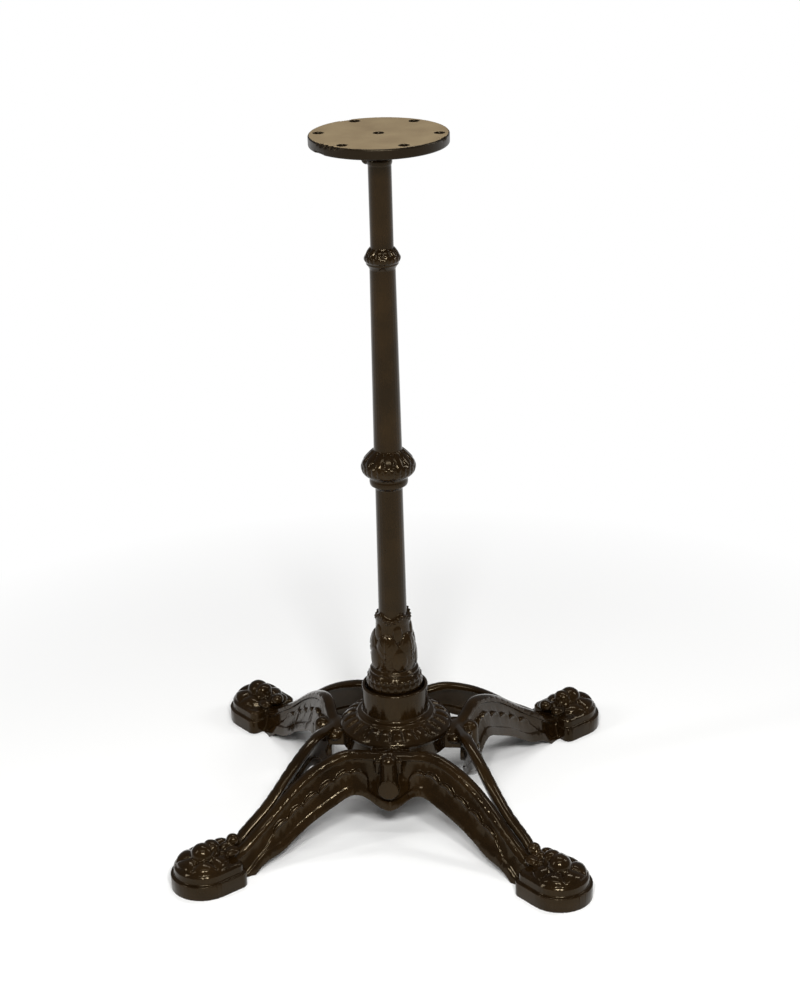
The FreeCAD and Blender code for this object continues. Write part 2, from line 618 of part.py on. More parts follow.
def make_boss():
    """Front boss: half round pillar with a ball on top, a disc, two small ribs and the arm to the hub."""
    place = "-Sizes.boss_place"
    ball = "Sizes.pillar_top - Sizes.pillar_radius"
    pillar = primitive("Cylinder", "boss_pillar", Radius="Sizes.pillar_radius", Height=f"{ball} - Sizes.disc_level",
                       Placement__Base__y=place, Placement__Base__z="Sizes.disc_level")
    top = primitive("Sphere", "boss_ball", Radius="Sizes.pillar_radius",
                    Placement__Base__y=place, Placement__Base__z=ball)
    disc = primitive("Cylinder", "boss_disc", Radius="Sizes.disc_radius", Height="Sizes.disc_depth",
                     Placement__Base__y="-Sizes.disc_face", Placement__Base__z="Sizes.disc_level")
    disc.Placement.Rotation = Rotation(Vector(1, 0, 0), -90)
    ribs = []
    for side, sign in (("left", -1), ("right", 1)):
        ribs.append(primitive("Cylinder", f"boss_rib_{side}", Radius="Sizes.rib_radius", Height="Sizes.rib_length",
                              Placement__Base__x=f"{sign} * Sizes.rib_spacing / 2",
                              Placement__Base__y="-Sizes.rib_place",
                              Placement__Base__z="Sizes.rib_top - Sizes.rib_length"))
    arm = primitive("Box", "boss_arm", Length="Sizes.arm_width", Height="Sizes.arm_depth",
                    Width="Sizes.arm_reach - Sizes.apron_radius + Sizes.arm_root",
                    Placement__Base__x="-Sizes.arm_width / 2", Placement__Base__y="-Sizes.arm_reach",
                    Placement__Base__z="Sizes.arm_top - Sizes.arm_depth")
    return [pillar, top, disc, *ribs, arm]


def foot_outline(body, name, inset, level):
    """Plan of a foot round the axis of its ball: a round end, two straight sides and a back with round corners."""
    side = f"(Sizes.foot_radius - {inset})"
    back = f"(-Sizes.foot_length + {inset} / 2)"
    corner = "Sizes.foot_corner"
    bend = f"(1 - sqrt(0.5)) * {corner}"
    corners = [
        (back, f"{side} - {corner}", (f"{back} + {bend}", f"{side} - {bend}")),
        (back, f"{corner} - {side}"),
        (f"{back} + {corner}", f"-{side}", (f"{back} + {bend}", f"{bend} - {side}")),
        ("0", f"-{side}"),
        ("0", side, (side, "0")),
        (f"{back} + {corner}", side),
    ]
    sketch = outline(body, name, "XY_Plane", corners)
    bind(sketch, AttachmentOffset__Base__z=level)
    return sketch


def make_foot():
    """Front right foot: two tiers with a rosette of petals round a ball, hollow underneath."""
    body = new_body("foot")
    feature(body, "Pad", "foot_rim", foot_outline(body, "rim_outline", "0", "0"), Length="Sizes.rim_height")
    upper = foot_outline(body, "tier_outline", "Sizes.tier_inset", "Sizes.rim_height")
    feature(body, "Pad", "foot_tier", upper, Length="Sizes.tier_top - Sizes.rim_height")
    chamfered(body, "tier_rim", "Sizes.tier_top", "Sizes.tier_edge")
    core = foot_outline(body, "core_outline", "Sizes.foot_wall", "Sizes.foot_core")
    feature(body, "Pocket", "foot_hollow", core, Length="Sizes.foot_core")
    dome = [
        ("0", "Sizes.rim_height"),
        ("Sizes.rosette_radius", "Sizes.rim_height"),
        ("Sizes.rosette_radius", "Sizes.tier_top"),
        ("Sizes.ball_radius", "Sizes.rosette_top",
         ("0.3 * Sizes.ball_radius + 0.7 * Sizes.rosette_radius", "0.3 * Sizes.tier_top + 0.7 * Sizes.rosette_top")),
        ("0", "Sizes.rosette_top"),
    ]
    turned(body, "rosette_dome", outline(body, "dome_outline", "XZ_Plane", dome))
    fall = cell("rosette_top") - cell("tier_top")
    run = cell("rosette_radius") - cell("ball_radius")
    slope = "(Sizes.rosette_top - Sizes.tier_top) / (Sizes.rosette_radius - Sizes.ball_radius)"
    stretch = f"sqrt(1 + ({slope})^2)"
    groove = feature(body, "SubtractiveCylinder", "rosette_cut", Radius="Sizes.rosette_groove",
                     Height="Sizes.rosette_radius - Sizes.ball_radius / 2", Placement__Base__x="Sizes.ball_radius",
                     Placement__Base__z=f"Sizes.rosette_top + Sizes.rosette_groove * {stretch} + Sizes.rosette_rim")
    lay_along(groove, fall, run)
    round_about(body, "rosette", [groove], "Sizes.rosette_petals")
    feature(body, "AdditiveSphere", "rosette_ball", Radius="Sizes.ball_radius",
            Placement__Base__z="Sizes.ball_level")
    for side, sign in (("left", -1), ("middle", 0), ("right", 1)):
        feature(body, "AdditiveSphere", f"berry_{side}", Radius="Sizes.berry_radius",
                Placement__Base__x=f"{abs(sign)} * Sizes.berry_step - Sizes.foot_length",
                Placement__Base__y=f"{sign} * Sizes.berry_spread",
                Placement__Base__z=f"Sizes.berry_level - {abs(sign)} * Sizes.berry_step")
    body.Placement.Rotation = Rotation(Vector(0, 0, 1), -45)
    bind(body, Placement__Base__x="Sizes.foot_reach / sqrt(2)", Placement__Base__y="-Sizes.foot_reach / sqrt(2)")
    return body


def mirrored(source, name, normal):
    made = doc.addObject("Part::Mirroring", name)
    made.Source = source
    made.Normal = Vector(*normal)
    return made


def make_star_base():
    """One casting: the hub, four brackets of two rails and a boss, and four feet."""
    hub = make_hub()
    right = make_rail()
    left = mirrored(right, "rail_mirrored", (1, 0, 0))
    front = doc.addObject("Part::MultiFuse", "front_bracket")
    front.Shapes = [right, left, *make_boss()]
    side = mirrored(front, "left_bracket", (1, -1, 0))
    foot = make_foot()
    front_left = mirrored(foot, "front_left_foot", (1, 0, 0))
    brackets = [front, side, mirrored(front, "back_bracket", (0, 1, 0)), mirrored(side, "right_bracket", (1, 0, 0))]
    feet = [foot, front_left, mirrored(foot, "back_right_foot", (0, 1, 0))]
    feet.append(mirrored(front_left, "back_left_foot", (0, 1, 0)))
    casting = doc.addObject("Part::MultiFuse", "star_base")
    casting.Label = "star_base"
    casting.Shapes = [hub, *brackets, *feet]
    return casting


def main():
    pieces = [make_star_base(), make_column(), make_top_plate(), make_tie_rod(), make_base_washer(), make_base_nut()]
    doc.recompute()
    failed = [thing.Label for thing in doc.Objects if {"Invalid", "Error"} & set(thing.State)]
    if failed:
        raise RuntimeError(f"failed: {failed}")
    for piece in pieces:
        if piece.Shape.isNull() or not piece.Shape.isValid():
            raise RuntimeError(f"no valid solid: {piece.Label}")
    os.makedirs("parts", exist_ok=True)
    for piece in pieces:
        print(piece.Label, "solids", len(piece.Shape.Solids), "volume", round(piece.Shape.Volume))
        piece.Shape.exportStep(f"parts/{piece.Label}.step")


main()
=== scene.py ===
"""Cast iron star table base: cast relief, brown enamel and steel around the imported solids, on a pale floor."""

import math

import bpy
import numpy as np
from mathutils import Matrix, Vector
from mathutils.bvhtree import BVHTree


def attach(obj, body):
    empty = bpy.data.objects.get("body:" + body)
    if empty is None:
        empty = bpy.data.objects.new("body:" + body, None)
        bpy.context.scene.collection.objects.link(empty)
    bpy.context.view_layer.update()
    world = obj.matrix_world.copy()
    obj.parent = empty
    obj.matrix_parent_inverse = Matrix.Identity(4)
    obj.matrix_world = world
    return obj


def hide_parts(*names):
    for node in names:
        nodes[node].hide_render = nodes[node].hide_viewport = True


MM = 0.001
TURN = 2 * math.pi

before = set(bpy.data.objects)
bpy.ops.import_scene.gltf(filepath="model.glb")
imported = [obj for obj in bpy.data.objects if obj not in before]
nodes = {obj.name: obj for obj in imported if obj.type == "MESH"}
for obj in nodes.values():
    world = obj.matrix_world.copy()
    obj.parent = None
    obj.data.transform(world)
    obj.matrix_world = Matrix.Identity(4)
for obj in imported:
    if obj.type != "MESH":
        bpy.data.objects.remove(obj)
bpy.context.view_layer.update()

# Sizes are in millimetres and angles in degrees, unless a comment says otherwise

# The star's solid, as far as its relief is set out from it
FOOT_REACH = 251.0
TIER_TOP = 25.6
RAIL_START = np.array([0.0, -82.0])
RAIL_END = np.array([138.6, -169.7])
RAIL_LEAN = 15.0
ARCH_TOP = 58.0
CREST_END, CREST_TOP = 29.5, 100.0
SCALLOP_COUNT, SCALLOP_FIRST, SCALLOP_PITCH = 6, 19.5, 17.3
SCALLOP_LEVEL, SCALLOP_DEPTH, SCALLOP_FACE = 25.5, 4.0, 0.8

# A rail from boss to foot as shares: its length, the arch under it, the rise of its crest and its lean
RAIL_SHARES = np.array([
    (0.035, 0.605, 0.925, 0.75), (0.08, 0.715, 0.945, 0.78), (0.15, 0.91, 0.98, 0.87), (0.22, 1.0, 1.0, 0.95),
    (0.32, 0.91, 0.95, 1.0), (0.46, 0.71, 0.80, 1.0), (0.60, 0.475, 0.575, 0.97), (0.735, 0.24, 0.325, 0.83),
    (0.87, 0.095, 0.11, 0.67), (1.04, 0.0, 0.0, 0.57)])
ARCH_SHARE, CREST_SHARE, LEAN_SHARE = 1, 2, 3

# Outer edge of a rail's cap from boss to foot
CAP_EDGE = np.array([
    (22, -78.5, 96), (33, -79.5, 98), (48.4, -86.6, 95.5), (66, -95, 89.5), (80.8, -104.5, 79.7),
    (101.8, -119.2, 60.5), (120.3, -137.4, 42.5), (134, -152, 31)], float)

# Relief on the rails: bars with their radius, the points along each, and how full they stay towards their ends
ROLL_RADIUS, ROLL_STEPS, ROLL_FULLNESS = 2.1, 17, 4
ROLL_ENDS, ROLL_DROP = (0.04, 0.96), 0.6
BEAD_RADIUS, BEAD_STEPS, BEAD_FULLNESS = 0.6, 9, 8
CAP_STEPS, CAP_MARGIN = 121, 2

# What the ends of a bar keep of its section, and the least tilt from upright that gives it a side
POINT_SHARE, LEAST_TILT = 0.03, 1e-6

# Relief on the hub and the bosses: lumps as their middle and their half sizes
HUB_PETALS, HUB_PETAL_FALL = 24, 24
HUB_PETAL_MIDDLE, HUB_PETAL_HALF = (48.6, 0, 100.8), (8.6, 5.2, 1.6)
RIB_END, RIB_END_RADIUS = np.array([11.5, -78.3, 88.0]), 3.2
SADDLE_MIDDLE, SADDLE_HALF = (0, -63, 84.5), (25.0, 12.5, 9.0)

# Relief on a foot, measured from the axis of its ball with the toe on +X
FOOT_BUDS = (((-37, 0, 36.0), (6.6, 7.0, 6.2)), ((-28, 11, 30.5), (9.0, 6.5, 4.6)),
             ((-28, -11, 30.5), (9.0, 6.5, 4.6)), ((-27, 0, 32.0), (7.0, 5.0, 4.6)))
ROSETTE_PETALS, ROSETTE_REACH, ROSETTE_BACK, ROSETTE_BLEND = 6, 26.8, -21, 4
BALL_RADIUS, BALL_LEVEL = 12.3, 33.0
PETAL_ROOT, PETAL_LENGTH, PETAL_HEIGHT = 13.0, 14.2, 8.4
PETAL_CREASE, PETAL_ROUNDNESS = 0.55, 0.5
CURL_BACK, CURL_LEVEL, CURL_HALF = 11.0, 38.0, (8.0, 9.5, 7.0)

# The sleeve's broad leaves with midrib, edges and veins, whose bars lie a little below its face
LEAVES, LEAF_TURN = 5, 39.0
LEAF_FOOT, LEAF_TIP, LEAF_SPREAD, LEAF_ROUNDNESS = 165.0, 203.0, 34.0, 0.6
MIDRIB_RADIUS, MIDRIB_STEPS, MIDRIB_PROUD = 1.2, 16, -0.4
EDGE_RADIUS, EDGE_STEPS, EDGE_PROUD, EDGE_FULLNESS, EDGE_ENDS = 0.9, 24, -0.2, 6, (0.02, 0.98)
VEIN_RADIUS, VEIN_STEPS, VEIN_PROUD = 0.75, 8, -0.4
VEIN_LEVELS, VEIN_TURN, VEIN_RISE = (170, 178, 186), 22, 10

# Small leaves on the column as lower end, upper end, half width and half thickness, with their counts,
# and a leaf's half length as a share of the way between its ends, which it laps over
SLEEVE_GAP_LEAVES = ((163, 186, 8.6, 2.2), (194, 211, 5.0, 1.5))
BELL_TIPS, BELL_TIP = 28, (148.5, 152.0, 2.0, 1.2)
KNOP_LEAVES = ((13, (388, 400, 4.6, 1.2)), (11, (601.5, 608.5, 3.3, 1.0)))
LEAF_HALF_SHARE = 0.55

# The garland: its beads, the swags that it hangs in, and each row's drop and bead radius
GARLAND_BEADS, GARLAND_SWAGS, GARLAND_LEVEL, GARLAND_DROP, GARLAND_DIP = 30, 4, 219.0, 2.8, 267.0
GARLAND_ROWS, GARLAND_PROUD = ((0.0, 1.15), (2.1, 0.95)), 0.1
LIP_EDGE, LIP_SLOPE, LIP_ABOVE_GARLAND = 223.0, 1.5, 0.9

# The roll round the bell, which laps over its own start
BELL_ROLL_LEVEL, BELL_ROLL_RADIUS, BELL_ROLL_PROUD = 157.6, 1.1, -0.3
BELL_ROLL_TURN, BELL_ROLL_STEPS = 366, 90

# Soft rims round the column as level, radius and half height, and their inner radius, within its wall
KNOP_RIMS, HEAD_COLLAR, RIM_INSIDE = ((382.0, 27.2, 8.0), (598.0, 17.4, 4.5)), (693.0, 12.4, 9.0), 9.0

# The stub beside the column's head as its middle and its half sizes
STUB_MIDDLE, STUB_HALF = (-12.8, 0.0, 697.5), (5.4, 4.0, 7.8)

# Where a search for the column's face starts, clear of all its mouldings
OUTSIDE_COLUMN = 100

# The plate, and where its rim is chipped: first and last angle, level of the rim and depth
PLATE_TOP, PLATE_UNDER, PLATE_RADIUS = 720.0, 709.6, 67.2
CHIPS = ((216, 243, PLATE_TOP, 2.4), (338, 347, PLATE_TOP, 1.8), (120, 131, PLATE_TOP, 1.5),
         (213, 226, PLATE_UNDER, 2.2), (20, 28, PLATE_UNDER, 1.4))
CHIP_ACROSS, CHIP_UP, CHIP_FALL, CHIP_ENDS = 2.4, 2.2, 0.7, 0.4

# A chip's ragged edge: its mean share of the depth, and waves as share, half turns and start in radians
CHIP_MEAN, CHIP_WAVES = 0.6, ((0.28, 9, 1), (0.12, 25, 0))

# Grain of each casting's mesh, and the most triangles that it keeps
STAR_GRAIN, COLUMN_GRAIN, PLATE_GRAIN = 0.75, 0.6, 0.6
CASTING_TRIANGLES, PLATE_TRIANGLES = 195000, 150000

# The plate's top with its painted sheen, a tan that stands for light reflected from above: where the tan gives
# way to the dark edge, and how far that line wanders
SHEEN_INSIDE, SHEEN_OUTSIDE, SHEEN_WANDER = 67.4, 68.2, 3.0

# The studio: the floor's reach, where it runs out to white in metres, and the sky's strength
FLOOR_REACH = 60000.0
RUN_OUT = (0.3, 0.8)
SKY_STRENGTH = 0.2

# Lamps by name: place, aim, width and height in metres, and power in watts
LAMPS = {
    "near_left_lamp": ((0.0, -1.7, 1.5), (0.0, 0.0, 0.15), 0.24, 0.24, 20.0),
    "near_right_lamp": ((0.5, -1.65, 1.5), (0.0, 0.0, 0.15), 0.24, 0.24, 20.0),
    "left_window": ((-1.4, -0.7, 1.2), (0.0, 0.0, 0.25), 0.16, 0.7, 5.0),
    "right_window": ((1.5, 0.3, 1.3), (0.0, 0.0, 0.25), 0.16, 0.7, 5.0),
    "front_strip": ((0.1, -0.9, 2.0), (0.0, 0.0, 0.1), 1.3, 0.12, 5.0),
    "top_strip": ((0.1, 0.6, 2.1), (0.0, 0.0, 0.3), 1.3, 0.12, 9.0)}

# The photograph's viewpoint: metres from the column's axis and above the floor, and the lens in pixels
VIEW_DISTANCE, VIEW_HEIGHT = 2.052705, 1.193692
VIEW_TURN, VIEW_ASIDE, VIEW_PITCH, VIEW_ROLL = 6.526, -0.297, 22.52, -1.573
LENS_PIXELS, PHOTO_HEIGHT_PIXELS, SENSOR = 2203.19, 1004, 36.0


# Meshes as arrays of corners in millimetres and of triangles
def grid_faces(rows, columns):
    """Triangles of a grid of corners whose rows are closed rings."""
    faces = []
    for row in range(rows - 1):
        for column in range(columns):
            following = (column + 1) % columns
            a, b = row * columns + column, row * columns + following
            c, d = a + columns, b + columns
            faces += [(a, b, d), (a, d, c)]
    return np.array(faces, int)


def ellipsoid(centre, along, across, up, rings=14, segments=20):
    """An ellipsoid from its centre and its three half axes."""
    polar = np.linspace(0, math.pi, rings)
    turn = np.linspace(0, TURN, segments, endpoint=False)
    a = np.sin(polar)[:, None] * np.cos(turn)[None, :]
    b = np.sin(polar)[:, None] * np.sin(turn)[None, :]
    c = np.repeat(np.cos(polar)[:, None], segments, axis=1)
    corners = [np.outer(share.ravel(), axis) for share, axis in ((a, along), (b, across), (c, up))]
    return np.asarray(centre, float) + sum(corners), grid_faces(rings, segments)


def lump(middle, half_sizes):
    """An ellipsoid that lies square to the axes."""
    return ellipsoid(middle, *np.diag(half_sizes))


def ball(centre, radius):
    """A round bead."""
    return lump(centre, (radius, radius, radius))


def tube(path, radii, sides=10):
    """A round bar along a path, with a radius for each point."""
    path = np.asarray(path, float)
    heading = np.gradient(path, axis=0)
    heading /= np.linalg.norm(heading, axis=1)[:, None]
    side = np.cross(heading, (0.0, 0.0, 1.0))
    side /= np.maximum(np.linalg.norm(side, axis=1), LEAST_TILT)[:, None]
    lift = np.cross(side, heading)
    turn = np.linspace(0, TURN, sides, endpoint=False)
    ring = side[:, None, :] * np.cos(turn)[None, :, None] + lift[:, None, :] * np.sin(turn)[None, :, None]
    corners = path[:, None, :] + ring * np.asarray(radii, float)[:, None, None]
    return corners.reshape(-1, 3), grid_faces(len(path), sides)


def tapered(radius, count, fullness=2):
    """Radii of a bar that swells from a point and back, and stays full for longer with a higher fullness."""
    along = np.abs(np.linspace(-1, 1, count))
    return radius * np.sqrt(np.clip(1 - along ** fullness, POINT_SHARE, 1))


def moved(piece, matrix, shift=(0, 0, 0)):
    """A copy of a piece turned or mirrored and shifted, its faces still outward."""
    corners, faces = piece
    mirrored = np.linalg.det(matrix) < 0
    return corners @ matrix.T + shift, faces[:, ::-1] if mirrored else faces


def joined(pieces):
    """One pair of arrays from many."""
    corners, faces, count = [], [], 0
    for part_corners, part_faces in pieces:
        corners.append(part_corners)
        faces.append(part_faces + count)
        count += len(part_corners)
    return np.concatenate(corners), np.concatenate(faces)


def main_shell(piece):
    """The largest connected part of a mesh, without the specks that melting leaves."""
    corners, faces = piece
    one, other = np.concatenate([faces[:, [0, 1]], faces[:, [1, 2]], faces[:, [2, 0]]]).T
    shell, before = np.arange(len(corners)), None
    while before is None or not np.array_equal(shell, before):
        before = shell.copy()
        low = np.minimum(shell[one], shell[other])
        np.minimum.at(shell, one, low)
        np.minimum.at(shell, other, low)
        shell = shell[shell]
    own = shell[faces[:, 0]]
    kept, renumbered = np.unique(faces[own == np.bincount(own).argmax()], return_inverse=True)
    return corners[kept], renumbered.reshape(-1, 3)


# Between these arrays and Blender's meshes
def corners_of(mesh):
    """A mesh's corners in millimetres."""
    corners = np.empty(len(mesh.vertices) * 3, np.float32)
    mesh.vertices.foreach_get("co", corners)
    return corners.reshape(-1, 3).astype(float) / MM


def arrays_of(mesh):
    """A mesh's corners in millimetres and its triangles."""
    mesh.calc_loop_triangles()
    faces = np.empty(len(mesh.loop_triangles) * 3, np.int32)
    mesh.loop_triangles.foreach_get("vertices", faces)
    return corners_of(mesh), faces.reshape(-1, 3).astype(int)


def solid_of(node_name):
    """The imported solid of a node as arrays."""
    return arrays_of(nodes[node_name].data)


def skin_of(node_name):
    """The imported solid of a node, ready to be searched for places on its surface."""
    return BVHTree.FromPolygons(*[array.tolist() for array in solid_of(node_name)])


def mesh_of(name, piece):
    """A Blender mesh from corners in millimetres and triangles."""
    corners, faces = piece
    mesh = bpy.data.meshes.new(name)
    mesh.vertices.add(len(corners))
    mesh.vertices.foreach_set("co", (corners * MM).astype(np.float32).ravel())
    mesh.loops.add(len(faces) * 3)
    mesh.loops.foreach_set("vertex_index", faces.astype(np.int32).ravel())
    mesh.polygons.add(len(faces))
    mesh.polygons.foreach_set("loop_start", np.arange(0, len(faces) * 3, 3, dtype=np.int32))
    mesh.update(calc_edges=True)
    mesh.validate()
    return mesh


def mesh_object(name, piece):
    """An object in the scene from corners in millimetres and triangles."""
    made = bpy.data.objects.new(name, mesh_of(name, piece))
    bpy.context.scene.collection.objects.link(made)
    return made


def reshape(made, corners):
    """Moves an object's corners to new places in millimetres."""
    made.data.vertices.foreach_set("co", (corners * MM).astype(np.float32).ravel())
    made.data.update()


def settle(made):
    """Bakes an object's modifiers into its mesh."""
    graph = bpy.context.evaluated_depsgraph_get()
    mesh = bpy.data.meshes.new_from_object(made.evaluated_get(graph))
    made.modifiers.clear()
    made.data = mesh


def cast(made, grain, most_triangles, carve=None):
    """Melts overlapping pieces into one skin with a casting's soft edges, carves it and thins its triangles."""
    melt = made.modifiers.new("melt", "REMESH")
    melt.mode = "VOXEL"
    melt.voxel_size = grain * MM
    made.modifiers.new("soften", "SMOOTH")
    settle(made)
    if carve:
        reshape(made, carve(corners_of(made.data)))
    made.data.calc_loop_triangles()
    triangles = len(made.data.loop_triangles)
    if triangles > most_triangles:
        thin = made.modifiers.new("thin", "DECIMATE")
        thin.ratio = most_triangles / triangles
        settle(made)
    made.data = mesh_of(made.name, main_shell(arrays_of(made.data)))
    made.data.polygons.foreach_set("use_smooth", np.ones(len(made.data.polygons), bool))


def stands_for(made, node_name):
    """Lets an object take the place of a node's solid."""
    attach(made, "root")
    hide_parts(node_name)
    return made


# Copies of one rail, one boss and one foot round the star
def spin(angle):
    """The turn round the upright axis by an angle in radians."""
    c, s = math.cos(angle), math.sin(angle)
    return np.array([[c, -s, 0.0], [s, c, 0.0], [0.0, 0.0, 1.0]])


MIRROR = np.diag([-1.0, 1.0, 1.0])
QUARTERS = [spin(quarter * math.pi / 2) for quarter in range(4)]
RAILS = QUARTERS + [quarter @ MIRROR for quarter in QUARTERS]
FEET = [quarter @ spin(-math.pi / 4) for quarter in QUARTERS]


# Curves along a rail
def curve_between(t, first, last, first_slope, last_slope):
    """A smooth curve from one value to the next, which leaves and arrives with the given slopes."""
    return (first * (1 + 2 * t) * (1 - t) ** 2 + first_slope * t * (1 - t) ** 2
            + last * t ** 2 * (3 - 2 * t) + last_slope * t ** 2 * (t - 1))


def rail_arc():
    """Centre, radius, first angle and turn of the rail's bottom edge in plan, which ends along the leg."""
    inward = np.array([-1.0, -1.0]) / math.sqrt(2)
    chord = RAIL_START - RAIL_END
    radius = chord @ chord / (2 * chord @ inward)
    centre = RAIL_END + inward * radius
    first = math.atan2(*(RAIL_START - centre))
    return centre, radius, first, math.pi / 4 - first


RAIL_CENTRE, RAIL_RADIUS, RAIL_FIRST, RAIL_TURN = rail_arc()
RAIL_LENGTH = RAIL_RADIUS * RAIL_TURN


def rail_point(distance, inward):
    """A place in plan at a distance along the rail, some way in from its bottom edge."""
    angle = RAIL_FIRST + distance / RAIL_LENGTH * RAIL_TURN
    reach = RAIL_RADIUS + inward
    return RAIL_CENTRE + reach * np.array([math.sin(angle), math.cos(angle)])


def eased(column, share):
    """A rail's share at any part of its length, on a smooth curve through the given ones."""
    along, levels = RAIL_SHARES[:, 0], RAIL_SHARES[:, column]
    slopes = np.gradient(levels, along)
    index = int(np.clip(np.searchsorted(along, share) - 1, 0, len(along) - 2))
    width = along[index + 1] - along[index]
    t = (share - along[index]) / width
    return curve_between(t, levels[index], levels[index + 1], slopes[index] * width, slopes[index + 1] * width)


def on_panel(distance, above):
    """A place on the scalloped layer, some way above the rail's bottom edge."""
    share = distance / RAIL_LENGTH
    bottom = ARCH_TOP * eased(ARCH_SHARE, share)
    crest = CREST_END + (CREST_TOP - CREST_END) * eased(CREST_SHARE, share)
    inward = RAIL_LEAN * eased(LEAN_SHARE, share) * above / (crest - bottom) + SCALLOP_FACE
    return np.array([*rail_point(distance, inward), bottom + above])


def smooth_path(points, count):
    """Evenly spread points on a curve through the given ones."""
    steps = np.concatenate([[0], np.cumsum(np.linalg.norm(np.diff(points, axis=0), axis=1))])
    wanted = np.linspace(0, steps[-1], count)
    slopes = np.gradient(points, steps, axis=0)
    index = np.clip(np.searchsorted(steps, wanted, side="right") - 1, 0, len(points) - 2)
    width = (steps[index + 1] - steps[index])[:, None]
    t = (wanted - steps[index])[:, None] / width
    return curve_between(t, points[index], points[index + 1], slopes[index] * width, slopes[index + 1] * width)


# The star's carving
star_skin = skin_of("star_base")


def scallop_rolls():
    """Raised rolls along the upper edges of the scallops."""
    pieces = []
    for number in range(SCALLOP_COUNT):
        path = []
        for share in np.linspace(*ROLL_ENDS, ROLL_STEPS):
            above = SCALLOP_LEVEL - SCALLOP_DEPTH * (2 * share - 1) ** 2 - ROLL_DROP
            path.append(on_panel(SCALLOP_FIRST + (number + share) * SCALLOP_PITCH, above))
        pieces.append(tube(path, tapered(ROLL_RADIUS, ROLL_STEPS, ROLL_FULLNESS)))
    return pieces


def cap_beads():
    """Long shallow beads on the solid's skin that break the outer edge of a cap."""
    path = np.array([star_skin.find_nearest(Vector(point))[0] for point in smooth_path(CAP_EDGE, CAP_STEPS)])
    radii = tapered(BEAD_RADIUS, BEAD_STEPS, BEAD_FULLNESS)
    starts = range(CAP_MARGIN, CAP_STEPS - BEAD_STEPS + 1, BEAD_STEPS)
    return [tube(path[start:start + BEAD_STEPS], radii) for start in starts]


def hub_petals():
    """Rounded petals on the skirt, between its grooves."""
    fall = math.radians(HUB_PETAL_FALL)
    length, width, height = HUB_PETAL_HALF
    along = length * np.array([math.cos(fall), 0, -math.sin(fall)])
    up = height * np.array([math.sin(fall), 0, math.cos(fall)])
    petal = ellipsoid(HUB_PETAL_MIDDLE, along, (0, width, 0), up)
    return [moved(petal, spin((number + 0.5) * TURN / HUB_PETALS)) for number in range(HUB_PETALS)]


def boss_relief():
    """Round ends on the small ribs of the front boss, and the saddle that runs from the boss to the hub."""
    rib_ends = [ball(RIB_END * (side, 1, 1), RIB_END_RADIUS) for side in (-1, 1)]
    return [*rib_ends, lump(SADDLE_MIDDLE, SADDLE_HALF)]


def rosette_level(ahead, aside):
    """Height of a foot's rosette: a ball in a ring of low petals, with a curled leaf behind it."""
    reach = np.hypot(ahead, aside)
    shoulder = np.sqrt(np.clip(1 - (np.maximum(reach - PETAL_ROOT, 0) / PETAL_LENGTH) ** 2, 0, 1))
    lobe = np.abs(np.cos(ROSETTE_PETALS / 2 * np.arctan2(aside, ahead))) ** PETAL_ROUNDNESS
    petal = TIER_TOP + PETAL_HEIGHT * shoulder * (1 - PETAL_CREASE + PETAL_CREASE * lobe)
    ball_top = BALL_LEVEL + np.sqrt(np.clip(BALL_RADIUS ** 2 - reach ** 2, 0, None))
    length, width, height = CURL_HALF
    spread = 1 - ((ahead + CURL_BACK) / length) ** 2 - (aside / width) ** 2
    curl = np.where(spread > 0, CURL_LEVEL + height * np.sqrt(np.clip(spread, 0, 1)), 0)
    return np.maximum.reduce([petal, curl, np.where(reach < BALL_RADIUS, ball_top, 0)])


def carve_star(corners):
    """Carves the four rosettes into the star's skin and keeps its soles on the floor."""
    for foot in FEET:
        local = corners @ foot - (FOOT_REACH, 0, 0)
        ahead, aside, level = local.T
        within = (np.hypot(ahead, aside) < ROSETTE_REACH) & (level > TIER_TOP) & (ahead > ROSETTE_BACK)
        share = np.clip((ahead[within] - ROSETTE_BACK) / ROSETTE_BLEND, 0, 1)
        wanted = rosette_level(ahead[within], aside[within])
        corners[within, 2] += share * (wanted - corners[within, 2])
    corners[:, 2] = np.maximum(corners[:, 2], 0)
    return corners


def star_casting():
    """The star as one casting, with the carving that its solid leaves to relief."""
    pieces = [solid_of("star_base"), *hub_petals()]
    rail = joined(scallop_rolls() + cap_beads())
    pieces += [moved(rail, place) for place in RAILS]
    boss = joined(boss_relief())
    pieces += [moved(boss, place) for place in QUARTERS]
    buds = joined([lump(*bud) for bud in FOOT_BUDS])
    pieces += [moved(buds, foot, foot @ (FOOT_REACH, 0, 0)) for foot in FEET]
    made = mesh_object("star_casting", joined(pieces))
    cast(made, STAR_GRAIN, CASTING_TRIANGLES, carve_star)
    return stands_for(made, "star_base")


# The column's carving
column_skin = skin_of("column")


def on_column(angle, level, proud=0.0):
    """A place on the column's outside at an angle and a level, some way proud of it."""
    away = np.array([math.cos(math.radians(angle)), math.sin(math.radians(angle)), 0.0])
    hit = column_skin.ray_cast(Vector(OUTSIDE_COLUMN * away + (0, 0, level)), Vector(-away))[0]
    return np.array([hit.x, hit.y, level]) + proud * away


def leaf_between(angle, low, high, width, thickness):
    """A pointed leaf that lies on the column between two levels."""
    foot, tip = on_column(angle, low), on_column(angle, high)
    along = LEAF_HALF_SHARE * (tip - foot)
    across = width * np.array([-math.sin(math.radians(angle)), math.cos(math.radians(angle)), 0.0])
    out = np.cross(across, along)
    return ellipsoid((foot + tip) / 2, along, across, thickness * out / np.linalg.norm(out))


def leaf_ring(count, leaf):
    """Like leaves evenly round the column."""
    return [leaf_between(360 * number / count, *leaf) for number in range(count)]


def garland_level(angle):
    """Height of the sleeve's beaded edge, which hangs between four points."""
    return GARLAND_LEVEL - GARLAND_DROP * np.cos(np.radians(GARLAND_SWAGS * (angle - GARLAND_DIP)))


